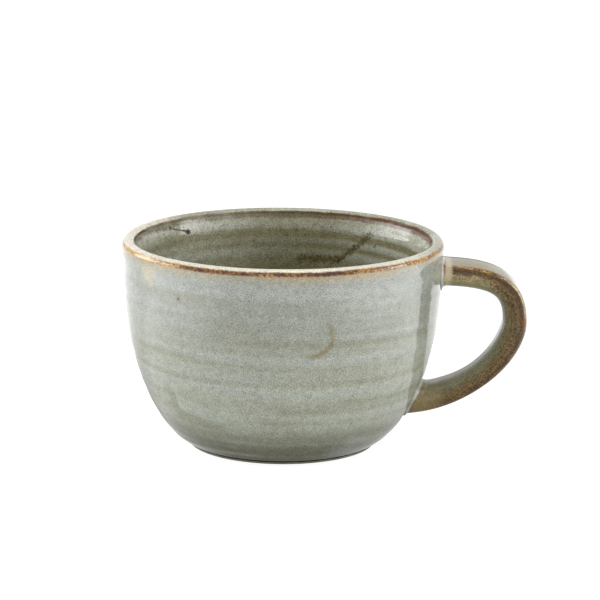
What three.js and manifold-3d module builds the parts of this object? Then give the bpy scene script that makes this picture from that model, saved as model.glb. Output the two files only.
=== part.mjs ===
// Hand-thrown stoneware coffee cup with a strap handle: clay, slip joints and glaze coats.
// Millimetres, +Z up. The cup stands on z = 0, its handle points along +X, and the origin is
// under the middle of its footprint, so the bowl's axis lies to the -X side of it.
import * as THREE from "three";
import { mergeVertices } from "three/addons/utils/BufferGeometryUtils.js";
import Module from "manifold-3d";

const wasm = await Module();
wasm.setup();

// Bowl, finished sizes over the glaze
const rimDiameter = 100;
const cupHeight = 65;
const shoulderDiameter = 98.8; // where the wall turns upright, below the flared lip
const shoulderDrop = 9; // from the rim down to the shoulder
const shoulderFullness = 27; // how far down the wall stays nearly upright
const heelAngle = 30.5; // degrees above level at which the wall leaves the foot
const heelFullness = 12.3; // how far out the heel runs before it turns up

// Wall, floor and glaze thicknesses
const lipThickness = 4.3;
const shoulderThickness = 5.6; // thicker than the lip, so the inside opens out towards the rim
const heelThickness = 6;
const floorHeight = 7.5; // inside floor above the table
const floorCornerRise = 4; // height of the rounded corner between floor and wall
const glazeThickness = 0.5;

// Foot ring, left bare, and the glazed well inside it
const footDiameter = 58.4;
const footHeight = 1.4;
const footRingWidth = 4.5;
const footEdgeRound = 0.5;
const bareHeelWidth = 1.1; // bare clay between the foot ring and the edge of the glaze
const wellDepth = 2;
const wellDraft = 0.8; // how far the well narrows towards its ceiling
const wellGlazeMargin = 0.6; // bare clay round the glaze in the well

// Strap handle, finished sizes over the glaze
const handleReach = 75.7; // from the bowl's axis to the outermost point
const strapWidth = 16;
const strapTopThickness = 7.4;
const strapBendThickness = 7.1; // at the outermost point
const strapWaistThickness = 6.3; // thinnest, in the lower limb
const strapTailThickness = 7.5;
const strapWaistRun = 21; // from the waist on to where the tail meets the wall
const outerEdgeRound = 1.6;
const innerFaceSwell = 4; // the inner face is rounded this deep towards the sides
const innerFaceFlat = 2.5; // flat strip left down its middle
const leastSideFlat = 0.3; // flat strip left on each side, between the outer edge and the swell
const upperRootDrop = 10.8; // from the rim down to the middle of the upper root
const upperRootRun = 15.4; // how far the strap heads straight out before it bends down
const bendDrop = 14.9; // from the upper root down to the outermost point
const bendFullnessAbove = 12.5;
const bendFullnessBelow = 5.9;
const lowerRootHeight = 14.5;
const lowerRootRun = 23; // length of the sweep back in to the heel
const lowerRootRise = 7; // degrees that the tail rises from the wall
const rootDepth = 6; // how far the strap's line runs on into the wall before it is trimmed

// Slip joints
const slipFillet = 1.8; // radius of the slip smoothed into each corner
const slipMargin = 0.9; // length of collar past the fillet at the upper root
const seatGap = 0.3; // between the trimmed ends and the clay, and round the slip in the glaze

// Facets
const turnSteps = 48;
const wallSteps = 9;
const flareSteps = 2;
const lipSteps = 3;
const floorSteps = 4;
const outerEdgeSteps = 3;
const innerFaceSteps = 4;
const strapSteps = 16;
const rootSteps = 9;
const slopeStep = 0.5; // height over which the wall's slope is taken
const slopeShare = 0.01; // share of the wall's curve for the same at the floor's corner
const halvings = 40; // steps of each search along the wall

const rimRadius = rimDiameter / 2;
const shoulderRadius = shoulderDiameter / 2;
const footRadius = footDiameter / 2;
const lipRadius = lipThickness / 2;
const lipHeight = cupHeight - lipRadius;
const shoulderHeight = cupHeight - shoulderDrop;
const upperRootHeight = cupHeight - upperRootDrop;
const bendHeight = upperRootHeight - bendDrop;
const quarterTurn = Math.PI / 2;
const radians = THREE.MathUtils.degToRad;
const point = (x, y) => new THREE.Vector2(x, y);

// The finished outer wall, from the edge of the glaze at the heel up to the shoulder
const glazeEdge = point(footRadius + bareHeelWidth, footHeight);
const heelTurn = point(Math.cos(radians(heelAngle)), Math.sin(radians(heelAngle)));
const outerWall = new THREE.CubicBezierCurve(
  glazeEdge,
  glazeEdge.clone().addScaledVector(heelTurn, heelFullness),
  point(shoulderRadius, shoulderHeight - shoulderFullness),
  point(shoulderRadius, shoulderHeight),
);

// A side of the lip's flare: upright at both ends, from the shoulder out to the lip
function flare(fromRadius, toRadius) {
  const middle = (shoulderHeight + lipHeight) / 2;
  return new THREE.CubicBezierCurve(
    point(fromRadius, shoulderHeight),
    point(fromRadius, middle),
    point(toRadius, middle),
    point(toRadius, lipHeight),
  );
}

// A point on a wall curve, moved by depth to its left, which is into the clay going up
function inset(curve, t, depth) {
  const along = curve.getTangent(t);
  return curve.getPoint(t).add(point(-along.y, along.x).multiplyScalar(depth));
}

// Points of the outer surface from heel to crest, inset by depth
function outerLine(depth) {
  const points = [];
  const outerFlare = flare(shoulderRadius, rimRadius);
  for (let i = 0; i < wallSteps; i++) {
    points.push(inset(outerWall, i / wallSteps, depth));
  }
  for (let i = 0; i < flareSteps; i++) {
    points.push(inset(outerFlare, i / flareSteps, depth));
  }
  for (let i = 0; i <= lipSteps; i++) {
    points.push(lipPoint((i * quarterTurn) / lipSteps, depth));
  }
  return points;
}

function lipPoint(angle, depth) {
  const radius = lipRadius - depth;
  const centre = point(rimRadius - lipRadius, lipHeight);
  return centre.add(point(Math.cos(angle), Math.sin(angle)).multiplyScalar(radius));
}

// The inner wall keeps a set distance from the outer one, and grows thicker towards the heel
function innerWallPoint(t, depth) {
  const thickness = THREE.MathUtils.lerp(heelThickness, shoulderThickness, t);
  return inset(outerWall, t, thickness - depth);
}

// Where along the wall the inner surface hands over to the rounded corner of the floor
function cornerStart() {
  let low = 0;
  let high = 1;
  for (let i = 0; i < halvings; i++) {
    const middle = (low + high) / 2;
    if (innerWallPoint(middle, 0).y < floorHeight + floorCornerRise) low = middle;
    else high = middle;
  }
  return low;
}

// Points of the inner surface from crest to the middle of the floor, inset by depth
function innerLine(depth) {
  const points = [];
  const innerFlare = flare(shoulderRadius - shoulderThickness, rimRadius - lipThickness);
  for (let i = 0; i < lipSteps; i++) {
    points.push(lipPoint(quarterTurn + (i * quarterTurn) / lipSteps, depth));
  }
  for (let i = flareSteps; i > 0; i--) {
    points.push(inset(innerFlare, i / flareSteps, -depth));
  }
  const start = cornerStart();
  for (let i = wallSteps; i > 0; i--) {
    points.push(innerWallPoint(THREE.MathUtils.lerp(start, 1, i / wallSteps), depth));
  }
  points.push(...floorCorner(start, depth));
  points.push(point(0, floorHeight - depth));
  return points;
}

// The rounded corner: leaves the wall along its own slope and runs level into the floor
function floorCorner(start, depth) {
  const from = innerWallPoint(start, depth);
  const above = innerWallPoint(start + slopeShare, depth);
  const slope = from.clone().sub(above).normalize();
  const floor = floorHeight - depth;
  const knee = from.clone().addScaledVector(slope, (floor - from.y) / slope.y);
  const level = point(knee.x - knee.distanceTo(from), floor);
  return new THREE.QuadraticBezierCurve(from, knee, level).getPoints(floorSteps);
}

// A solid turned about the Z axis from a profile of (radius, height) points, going up outside
function turned(profile) {
  const closed = profile[0].x === 0 ? profile : [...profile, profile[0]];
  return new THREE.LatheGeometry(closed, turnSteps).rotateX(quarterTurn);
}

// Boolean helpers
function solidOf(geometry) {
  const bare = geometry.clone();
  bare.deleteAttribute("normal");
  bare.deleteAttribute("uv");
  const merged = mergeVertices(bare);
  return new wasm.Manifold(
    new wasm.Mesh({
      numProp: 3,
      vertProperties: new Float32Array(merged.attributes.position.array),
      triVerts: new Uint32Array(merged.index.array),
    }),
  );
}

function geometryOf(solid) {
  const mesh = solid.getMesh();
  const geometry = new THREE.BufferGeometry();
  geometry.setAttribute("position", new THREE.BufferAttribute(mesh.vertProperties, 3));
  geometry.setIndex(new THREE.BufferAttribute(mesh.triVerts, 1));
  geometry.computeVertexNormals();
  return geometry;
}

// Foot ring and well: the bare underside from the middle out to the edge of the glaze
function footLine() {
  const ceiling = wellDepth + glazeThickness;
  const ringInside = footRadius - footRingWidth;
  return [
    point(0, ceiling),
    point(ringInside - wellDraft, ceiling),
    point(ringInside, footEdgeRound),
    point(ringInside + footEdgeRound, 0),
    point(footRadius - footEdgeRound, 0),
    point(footRadius, footEdgeRound),
    point(footRadius, footHeight),
  ];
}

function clayBowl() {
  return turned([...footLine(), ...outerLine(glazeThickness), ...innerLine(glazeThickness)]);
}

function outsideGlaze() {
  const coat = turned([...outerLine(0), ...outerLine(glazeThickness).reverse()]);
  return geometryOf(
    solidOf(coat)
      .subtract(solidOf(loft(upperRoot, slipOutline(seatGap))))
      .subtract(solidOf(loft(lowerRoot, slipOutline(seatGap)))),
  );
}

function insideGlaze() {
  const crest = lipPoint(quarterTurn, glazeThickness);
  const clay = innerLine(glazeThickness);
  return turned([clay.at(-1), ...clay.slice(1, -1).reverse(), crest, ...innerLine(0)]);
}

function footWellGlaze() {
  const ceiling = wellDepth + glazeThickness;
  const edge = footRadius - footRingWidth - wellDraft - wellGlazeMargin;
  return turned([
    point(0, wellDepth),
    point(edge - glazeThickness, wellDepth),
    point(edge, ceiling),
    point(0, ceiling),
  ]);
}

// The strap's centre line in the XZ plane, from inside the upper wall round to inside the heel
function strapLine() {
  const bendX = handleReach - strapBendThickness / 2;
  const bend = point(bendX, bendHeight);
  const upper = point(shoulderRadius - shoulderThickness, upperRootHeight);
  const rise = point(Math.cos(radians(lowerRootRise)), Math.sin(radians(lowerRootRise)));
  const lower = point(wallRadius(lowerRootHeight), lowerRootHeight);
  const line = new THREE.CurvePath();
  line.add(
    new THREE.CubicBezierCurve(
      upper,
      upper.clone().add(point(shoulderThickness + upperRootRun, 0)),
      bend.clone().add(point(0, bendFullnessAbove)),
      bend,
    ),
  );
  line.add(
    new THREE.CubicBezierCurve(
      bend,
      bend.clone().sub(point(0, bendFullnessBelow)),
      lower.clone().addScaledVector(rise, lowerRootRun),
      lower,
    ),
  );
  line.add(new THREE.LineCurve(lower, lower.clone().addScaledVector(rise, -rootDepth)));
  return line;
}

// Radius of the finished outer wall at a height, found along the wall's curve
function wallRadius(height) {
  let low = 0;
  let high = 1;
  for (let i = 0; i < halvings; i++) {
    const middle = (low + high) / 2;
    if (outerWall.getPoint(middle).y < height) low = middle;
    else high = middle;
  }
  return outerWall.getPoint(low).x;
}

// The finished outer wall beside a point: the clear distance to it and the way that it faces
function wallBeside(place) {
  const radius = wallRadius(place.z);
  const slope = (wallRadius(place.z + slopeStep) - radius) / slopeStep;
  const facing = new THREE.Vector3(place.x, place.y, 0).normalize();
  facing.setZ(-slope).normalize();
  const clear = (Math.hypot(place.x, place.y) - radius) / Math.hypot(1, slope);
  return { clear, facing };
}

// Thickness along the strap: from the root to the bend, on to the waist, then out to the tail
function strapThickness(t) {
  const { lerp, smoothstep } = THREE.MathUtils;
  const toBend = lerp(strapTopThickness, strapBendThickness, smoothstep(t, 0, strapBendAt));
  const toWaist = lerp(toBend, strapWaistThickness, smoothstep(t, strapBendAt, strapWaistAt));
  return lerp(toWaist, strapTailThickness, smoothstep(t, strapWaistAt, strapWallAt));
}

// One station of the strap: points round its section, each with the way that it faces.
// The outer edges are quarters of a circle, the inner ones quarters of a wide ellipse.
function strapStation(t) {
  const middle = strap.getPoint(t);
  const along = strap.getTangent(t);
  const centre = new THREE.Vector3(middle.x, 0, middle.y);
  const outward = new THREE.Vector3(-along.y, 0, along.x);
  const across = new THREE.Vector3(0, -1, 0);
  const half = strapThickness(t) / 2;
  const swell = Math.min(innerFaceSwell, 2 * half - outerEdgeRound - leastSideFlat);
  const station = [];
  for (let corner = 0; corner < 4; corner++) {
    const outer = corner === 0 || corner === 3;
    const outSign = outer ? 1 : -1;
    const sideSign = corner < 2 ? 1 : -1;
    const depth = outer ? outerEdgeRound : swell;
    const width = outer ? outerEdgeRound : (strapWidth - innerFaceFlat) / 2;
    const steps = outer ? outerEdgeSteps : innerFaceSteps;
    for (let i = 0; i <= steps; i++) {
      const angle = (corner + i / steps) * quarterTurn;
      const out = Math.cos(angle);
      const side = Math.sin(angle);
      const place = centre.clone().addScaledVector(outward, outSign * (half - depth) + depth * out);
      place.addScaledVector(across, sideSign * (strapWidth / 2 - width) + width * side);
      const direction = outward.clone().multiplyScalar(out / depth);
      direction.addScaledVector(across, side / width).normalize();
      station.push({ place, direction });
    }
  }
  return station;
}

// Outlines of a station: the clay, the glaze over it, and the slip that fills the root's corner.
// The slip stands off the strap as a round fillet does, with a longer leg in a sharper corner.
const clayOutline = (at) => at.place.clone().addScaledVector(at.direction, -glazeThickness);
const glazeOutline = (at) => at.place;
const slipOutline = (grow) => (at) => {
  const wall = wallBeside(at.place);
  const lean = at.direction.dot(wall.facing);
  const leg = slipFillet * Math.sqrt((1 - lean) / (1 + lean));
  const clear = THREE.MathUtils.clamp(wall.clear, 0, leg);
  const stand = leg - Math.sqrt(leg ** 2 - (leg - clear) ** 2);
  return at.place.clone().addScaledVector(at.direction, stand + grow);
};

// A closed solid through a run of stations, or a sleeve when an inner outline is given
function loft(stations, outline, innerOutline) {
  const skins = [stations.map((s) => s.map(outline))];
  if (innerOutline) skins.push(stations.map((s) => s.map(innerOutline)));
  const sides = skins[0][0].length;
  const last = stations.length - 1;
  const vertices = skins.flat(2);
  const faces = [];
  const at = (skin, ring, side) => (skin * (last + 1) + ring) * sides + (side % sides);
  const quad = (a, b, c, d) => faces.push(a, b, c, a, c, d);
  for (let side = 0; side < sides; side++) {
    for (let ring = 0; ring < last; ring++) {
      quad(at(0, ring, side), at(0, ring, side + 1), at(0, ring + 1, side + 1), at(0, ring + 1, side));
      if (!innerOutline) continue;
      quad(at(1, ring, side), at(1, ring + 1, side), at(1, ring + 1, side + 1), at(1, ring, side + 1));
    }
    if (innerOutline) {
      quad(at(0, 0, side), at(1, 0, side), at(1, 0, side + 1), at(0, 0, side + 1));
      quad(at(0, last, side), at(0, last, side + 1), at(1, last, side + 1), at(1, last, side));
    } else if (side > 0 && side < sides - 1) {
      faces.push(at(0, 0, 0), at(0, 0, side + 1), at(0, 0, side));
      faces.push(at(0, last, 0), at(0, last, side), at(0, last, side + 1));
    }
  }
  const geometry = new THREE.BufferGeometry().setFromPoints(vertices);
  geometry.setIndex(faces);
  return geometry.toNonIndexed();
}

// The strap's stations: close together at each root, as far as the slip reaches, then even
const strap = strapLine();
const strapLength = strap.getLength();
const strapBendAt = strap.getCurveLengths()[0] / strapLength;
const strapWallAt = 1 - rootDepth / strapLength;
const strapWaistAt = strapWallAt - strapWaistRun / strapLength;
const rootReach = shoulderThickness + slipFillet + slipMargin;
const tailReach = rootDepth + strapTailThickness + slipFillet;
const upperEnd = rootReach / strapLength;
const lowerEnd = 1 - tailReach / strapLength;
const run = (from, to, steps) =>
  Array.from({ length: steps + 1 }, (_, i) => strapStation(THREE.MathUtils.lerp(from, to, i / steps)));
const upperRoot = run(0, upperEnd, rootSteps);
const strapBody = run(upperEnd, lowerEnd, strapSteps);
const lowerRoot = run(lowerEnd, 1, rootSteps);

// What trims the strap and the slip to the wall: the clay wall, grown by the seat gap
function wallTrimmer() {
  const wall = outerLine(glazeThickness - seatGap);
  return solidOf(turned([point(0, wall[0].y), ...wall, point(0, wall.at(-1).y)]));
}

const trimmedToWall = (geometry) => geometryOf(solidOf(geometry).subtract(wallTrimmer()));

function clayHandle() {
  const stations = [...upperRoot, ...strapBody.slice(1), ...lowerRoot.slice(1)];
  return trimmedToWall(loft(stations, clayOutline));
}

const slipJoint = (stations) => trimmedToWall(loft(stations, slipOutline(0), clayOutline));

// Materials
const bareClay = { color: 0xc9b79c, roughness: 0.85, metalness: 0 };
const paleSlip = { color: 0xc4c6ba, roughness: 0.35, metalness: 0 };
const sageGlaze = { color: 0xaaada2, roughness: 0.2, metalness: 0 };
const innerGlaze = { color: 0x8b8b7c, roughness: 0.18, metalness: 0 };
const strapGlaze = { color: 0x97947f, roughness: 0.22, metalness: 0 };

const cup = new THREE.Group();
function addPiece(name, geometry, look) {
  const piece = new THREE.Mesh(geometry, new THREE.MeshStandardMaterial(look));
  piece.name = name;
  cup.add(piece);
}

addPiece("clay_bowl", clayBowl(), bareClay);
addPiece("clay_handle", clayHandle(), bareClay);
addPiece("upper_slip_joint", slipJoint(upperRoot), paleSlip);
addPiece("lower_slip_joint", slipJoint(lowerRoot), paleSlip);
addPiece("outside_glaze", outsideGlaze(), sageGlaze);
addPiece("inside_glaze", insideGlaze(), innerGlaze);
addPiece("handle_glaze", loft(strapBody, glazeOutline, clayOutline), strapGlaze);
addPiece("foot_well_glaze", footWellGlaze(), sageGlaze);

// The footprint runs from the rim on one side to the handle on the other
cup.position.x = (rimRadius - handleReach) / 2;
const part = new THREE.Group();
part.add(cup);

export default part;
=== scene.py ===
# Sage-glazed stoneware coffee cup: fine meshes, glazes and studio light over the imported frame
import math
from functools import partial

import bpy
import numpy as np
from mathutils import Matrix, Vector


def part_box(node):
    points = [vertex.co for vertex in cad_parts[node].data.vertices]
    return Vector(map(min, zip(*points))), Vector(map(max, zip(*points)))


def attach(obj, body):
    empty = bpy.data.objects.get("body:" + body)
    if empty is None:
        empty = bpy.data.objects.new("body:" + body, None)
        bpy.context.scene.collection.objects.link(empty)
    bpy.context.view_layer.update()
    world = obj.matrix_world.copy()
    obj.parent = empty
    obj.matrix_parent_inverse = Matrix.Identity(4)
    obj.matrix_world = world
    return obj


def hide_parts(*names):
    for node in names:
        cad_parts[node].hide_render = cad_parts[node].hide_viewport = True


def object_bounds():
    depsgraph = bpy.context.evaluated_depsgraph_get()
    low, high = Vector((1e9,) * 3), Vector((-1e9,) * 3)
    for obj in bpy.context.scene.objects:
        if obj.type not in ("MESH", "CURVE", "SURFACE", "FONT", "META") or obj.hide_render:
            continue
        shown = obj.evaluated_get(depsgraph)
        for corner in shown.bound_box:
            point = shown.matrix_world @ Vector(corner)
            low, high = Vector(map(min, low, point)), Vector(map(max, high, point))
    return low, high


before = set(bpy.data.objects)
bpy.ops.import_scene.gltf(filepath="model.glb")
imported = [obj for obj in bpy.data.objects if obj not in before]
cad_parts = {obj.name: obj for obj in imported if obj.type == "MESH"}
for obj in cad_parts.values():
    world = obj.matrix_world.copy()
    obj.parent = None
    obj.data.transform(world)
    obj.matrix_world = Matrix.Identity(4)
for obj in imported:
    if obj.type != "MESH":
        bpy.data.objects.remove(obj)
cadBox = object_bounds()
mm = 0.001  # the frame is in metres, the sizes below are in millimetres

# The turned glaze coat gives the rim, the height and the bowl's axis
rimLow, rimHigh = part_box("outside_glaze")
rimRadius = (rimHigh.y - rimLow.y) / 2 / mm
cupHeight = rimHigh.z / mm
axisX = (rimLow.x + rimHigh.x) / 2 / mm
handleReach = cadBox[1].x / mm - axisX
print("frame: rim", round(rimRadius * 2, 2), "height", round(cupHeight, 2), "axis", round(axisX, 2))


# Mesh helpers

fineShares = np.linspace(0, 1, 600)  # of the way along a curve


def bezier(*points):
    # a quadratic or cubic curve
    points = np.array(points, float)
    share = fineShares[:, None]
    order = len(points) - 1
    return sum(
        math.comb(order, i) * (1 - share) ** (order - i) * share**i * points[i]
        for i in range(order + 1)
    )


def heading(degrees):
    angle = math.radians(degrees)
    return np.array([math.cos(angle), math.sin(angle)])


def lengths(line):
    return np.r_[0, np.cumsum(np.linalg.norm(np.diff(line, axis=0), axis=1))]


def unit(vector):
    return vector / np.linalg.norm(vector, axis=-1, keepdims=True)


def evenly(line, step):
    # the same line with points about one step apart
    run = lengths(line)
    spots = np.linspace(0, run[-1], max(2, round(run[-1] / step) + 1))
    return np.c_[np.interp(spots, run, line[:, 0]), np.interp(spots, run, line[:, 1])]


def rightOf(line):
    # unit vectors to the right of a line, away from the clay
    along = unit(np.gradient(line, axis=0))
    return np.c_[along[:, 1], -along[:, 0]]


def smooth(value, low, high):
    part = np.clip((value - low) / (high - low), 0, 1)
    return part * part * (3 - 2 * part)


def facing(grid):
    # outward normals of a grid of rings
    around = np.roll(grid, -1, axis=1) - np.roll(grid, 1, axis=1)
    return unit(np.cross(around, np.gradient(grid, axis=0)))


mapShares = {"seen": (0, 0.94), "hidden": (0.96, 1), "pole": 0.004}  # of a strip's height in the map


def ringMesh(name, seen, hidden, normals, marks, capAfter=None):
    # A closed body of rings: seen rows, then hidden rows, then back to the first.
    # capAfter is the row after which the rings close over the axis with two fans.
    rows = np.concatenate([seen, hidden])
    count, turns = rows.shape[:2]
    points = rows.reshape(-1, 3)
    shade = np.concatenate([normals, np.zeros_like(hidden)]).reshape(-1, 3)
    seenMap = np.linspace(*mapShares["seen"], len(seen))
    across = np.r_[seenMap, np.linspace(*mapShares["hidden"], len(hidden))]
    ring = np.arange(turns)
    after = (ring + 1) % turns
    half = turns // 2
    strip = ring // half  # the map holds two half turns, one above the other
    left, right = (ring - strip * half) / half, (ring + 1 - strip * half) / half
    faces, places = [], []
    for i in range(count):
        if i == capAfter:
            continue
        j = (i + 1) % count
        faces.append(np.c_[i * turns + ring, i * turns + after, j * turns + after, j * turns + ring])
        low, high = (across[i] + strip) / 2, (across[j] + strip) / 2
        places.append(np.stack([left, low, right, low, right, high, left, high], 1))
    polygons = np.concatenate(faces).tolist()
    uv = [np.concatenate(places).ravel()]
    if capAfter is not None:
        for row, way in ((capAfter, 1), ((capAfter + 1) % count, -1)):
            tip = normals[row].mean(0) if row < len(seen) else np.zeros(3)
            fan = np.c_[row * turns + ring, row * turns + after, np.full(turns, len(points))]
            polygons += fan[:, ::way].tolist()
            points, shade = np.r_[points, [rows[row].mean(0)]], np.r_[shade, [tip]]
            low = (across[row] + strip) / 2
            top = np.c_[(left + right) / 2, low + mapShares["pole"]]
            uv.append(np.stack([np.c_[left, low], np.c_[right, low], top][::way], 1).ravel())
    mesh = bpy.data.meshes.new(name)
    mesh.from_pydata((points * mm).tolist(), [], polygons)
    mesh.polygons.foreach_set("use_smooth", np.ones(len(polygons), bool))
    mesh.uv_layers.new(name="OFBake").data.foreach_set("uv", np.concatenate(uv))
    for key, value in marks.items():
        layer = mesh.attributes.new(key, "FLOAT", "POINT")
        full = np.zeros(len(points))
        full[: value.size] = value.ravel()
        if capAfter is not None and capAfter < len(seen):
            full[count * turns] = value[min(capAfter, len(value) - 1)].mean()
        layer.data.foreach_set("value", full.astype(np.float32))
    mesh.normals_split_custom_set_from_vertices(shade.tolist())
    mesh.update()
    return linked(name, mesh)


def linked(name, data):
    made = bpy.data.objects.new(name, data)
    bpy.context.collection.objects.link(made)
    return made


# Bowl line: over the bead at the heel, up the wall, over the lip and down to the floor

bowl = {
    "lipRadius": 2.15,
    "shoulderRadius": 49.4,
    "shoulderDrop": 9.0,
    "shoulderFullness": 27.0,
    "heelAngle": 30.5,
    "heelFullness": 12.3,
    "heelEdge": (30.3, 1.4),  # lower edge of the glaze, radius and height
    "shoulderThickness": 5.6,
    "heelThickness": 6.0,
    "lipLean": 30.0,  # of the inside where it meets the lip, degrees
    "throatPulls": (2.6, 2.2),  # on the inside's curve, at the shoulder and at the lip
    "floorHeight": 7.5,
    "floorCornerRise": 4.0,
    "pole": 0.4,  # radius of the innermost ring
    "coat": 0.5,  # thickness of the glaze
    "coatBack": 0.9,  # how deep its hidden side lies, as a share of that
    "turns": 320,
    "wallStep": 0.42,
    "lipStep": 0.17,
    "hiddenStep": 3.0,
}
shoulderHeight = cupHeight - bowl["shoulderDrop"]
lipHeight = cupHeight - bowl["lipRadius"]
flareHeight = (shoulderHeight + lipHeight) / 2
heelEdge, shoulder = np.array(bowl["heelEdge"]), bowl["shoulderRadius"]
wallLine = bezier(
    heelEdge,
    heelEdge + bowl["heelFullness"] * heading(bowl["heelAngle"]),
    (shoulder, shoulderHeight - bowl["shoulderFullness"]),
    (shoulder, shoulderHeight),
)
flareLine = bezier(
    (shoulder, shoulderHeight), (shoulder, flareHeight), (rimRadius, flareHeight), (rimRadius, lipHeight)
)
backDepth = bowl["coat"] * bowl["coatBack"]


def arcLine(middle, radius, fromAngle, toAngle):
    angle = np.radians(np.linspace(fromAngle, toAngle, len(fineShares)))
    return np.array(middle) + radius * np.c_[np.cos(angle), np.sin(angle)]


def innerWall():
    # down the inside, round the corner and along the floor
    floor = bowl["floorHeight"]
    thickness = bowl["heelThickness"] + (bowl["shoulderThickness"] - bowl["heelThickness"]) * fineShares
    line = (wallLine - rightOf(wallLine) * thickness[:, None])[::-1]
    line = line[line[:, 1] > floor + bowl["floorCornerRise"]]
    slope = line[-1] - line[-2]
    knee = line[-1] + slope * (floor - line[-1][1]) / slope[1]
    level = (knee[0] - np.linalg.norm(knee - line[-1]), floor)
    corner = bezier(line[-1], knee, level)
    return np.r_[line, corner[1:], [(bowl["pole"], floor)]]


def bowlLine():
    heelTurn = bowl["heelAngle"] - 90
    beadRadius = bowl["coat"] / 2
    bead = arcLine(heelEdge - beadRadius * heading(heelTurn), beadRadius, heelTurn - 180, heelTurn)
    lipRadius = bowl["lipRadius"]
    lipMiddle = np.array([rimRadius - lipRadius, lipHeight])
    lean = heading(90 - bowl["lipLean"])
    join = lipMiddle + lipRadius * np.array([-lean[1], lean[0]])
    throat = np.array([shoulder - bowl["shoulderThickness"], shoulderHeight])
    rise, pull = bowl["throatPulls"]
    inner = bezier(throat, throat + (0, rise), join - lean * pull, join)
    parts = [
        evenly(bead, bowl["lipStep"] / 2),
        evenly(np.r_[wallLine, flareLine[1:]], bowl["wallStep"]),
        evenly(arcLine(lipMiddle, lipRadius, 0, 90), bowl["lipStep"]),
        evenly(arcLine(lipMiddle, lipRadius, 90, 180 - bowl["lipLean"]), bowl["lipStep"]),
        evenly(np.r_[inner[::-1], innerWall()[1:]], bowl["wallStep"]),
    ]
    line = np.concatenate([parts[0]] + [part[1:] for part in parts[1:]])
    crest = sum(len(part) - 1 for part in parts[:3])
    run = lengths(line)
    return line, run - run[crest], crest


# Throwing rings: slanting waves that the potter's fingers left

rings = {
    "outside": (6.35, -31.8),  # pitch of the spiral, and run of one groove at the front
    "inside": (4.4, 6.6),
    "stray": (3.2, 12.0),  # shortest and longest of the waves that disturb it
    "waves": 9,
    "slants": 4,  # a stray wave climbs fewer rings than this in one turn
    "seed": 11,
    "relief": 0.045,  # height of a usual ring above the mean
    "spiral": 0.75,  # share of the regular spiral in it
    "strayShare": 0.33,
    "lipFade": (1.5, 8.0),  # they begin and are full this far from the lip,
    "heelFade": (1, 5),  # from the heel
    "floorFade": (2, 12),  # and from the middle of the floor
}


def throwingRings(turn, run):
    # the spiral with its stray waves, about 1 high
    pitch, groove = (np.where(run < 0, *pair) for pair in zip(rings["outside"], rings["inside"]))
    relief = -rings["spiral"] * np.cos(2 * math.pi * (run - groove) / pitch + turn + math.pi / 2)
    draw = np.random.default_rng(rings["seed"])
    low, high = np.log(rings["stray"])
    for _ in range(rings["waves"]):
        pitch = math.exp(draw.uniform(low, high))
        slant = draw.integers(0, rings["slants"])
        start = draw.uniform(0, 2 * math.pi)
        relief = relief + rings["strayShare"] * np.cos(2 * math.pi * run / pitch + slant * turn + start)
    return relief


# A finger mark low on the left of the front
fingerMark = {
    "path": [  # degrees, run, force
        (-140, -43.6, 0.2),
        (-138.6, -45.6, 0.8),
        (-138.6, -48.6, 0.7),
        (-137.6, -51.2, 1.0),
        (-132, -52.6, 1.0),
        (-126, -53.0, 0.8),
        (-118, -54.0, 0.4),
        (-112, -54.6, 0.05),
    ],
    "steps": 60,
    "radius": 42.5,  # of the wall there
    "width": 2.2,
    "depth": 4.6,  # in usual ring heights
    "ridge": (1.5, 1.4, 0.55),  # beside it: height in depths, place and width in widths
}


def pressedMark(turn, run):
    corners = np.array(fingerMark["path"], float)
    spots = np.linspace(0, len(corners) - 1, fingerMark["steps"])
    degrees, y, force = (np.interp(spots, np.arange(len(corners)), column) for column in corners.T)
    x = np.radians(degrees) * fingerMark["radius"]
    across, up = np.broadcast_arrays(turn * fingerMark["radius"], run)
    gaps = np.hypot(across[..., None] - x, up[..., None] - y)
    nearest = gaps.argmin(-1)
    gap = gaps.min(-1) / fingerMark["width"]
    above = across - x[nearest] + up - y[nearest] > 0
    height, place, width = fingerMark["ridge"]
    lift = np.exp(-(((gap - place) / width) ** 2)) * above
    return fingerMark["depth"] * force[nearest] * (height * lift - np.exp(-(gap**2)))


turnAngles = np.linspace(-math.pi, math.pi, bowl["turns"], endpoint=False)
line, run, crestRow = bowlLine()
away = rightOf(line)
fade = smooth(np.abs(run), *rings["lipFade"]) * smooth(line[:, 0], *rings["floorFade"])
fade *= smooth(run - run[0], *rings["heelFade"])
relief = throwingRings(turnAngles[None, :], run[:, None])
relief = (relief + pressedMark(turnAngles[None, :], run[:, None])) * fade[:, None]


def turned(profile, lift=0.0, normal=np.zeros((1, 2))):
    # the profile turned about the bowl's axis, lifted along its normals
    flat = np.zeros(bowl["turns"])
    radius = profile[:, :1] + normal[:, :1] * lift + flat
    height = profile[:, 1:] + normal[:, 1:] * lift + flat
    return np.stack(
        [axisX + radius * np.cos(turnAngles), radius * np.sin(turnAngles), height], -1
    )


bowlGrid = turned(line, relief * rings["relief"], away)
bowlNormals = facing(bowlGrid)
every = round(bowl["hiddenStep"] / bowl["wallStep"])


def goingBack(first, last, skip):
    # rows of the hidden side, some skipped, on the way back
    return np.unique(np.r_[np.arange(first, last, skip), last])[::-1]


def coat(name, first, last, cap=None):
    seen = slice(first, last + 1)
    back = goingBack(first, last, every)
    behind = turned(line[back] - away[back] * backDepth)
    marks = {"ridge": relief[seen], "lip": np.repeat(run[seen, None], bowl["turns"], 1)}
    return ringMesh(name, bowlGrid[seen], behind, bowlNormals[seen], marks, cap)


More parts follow.
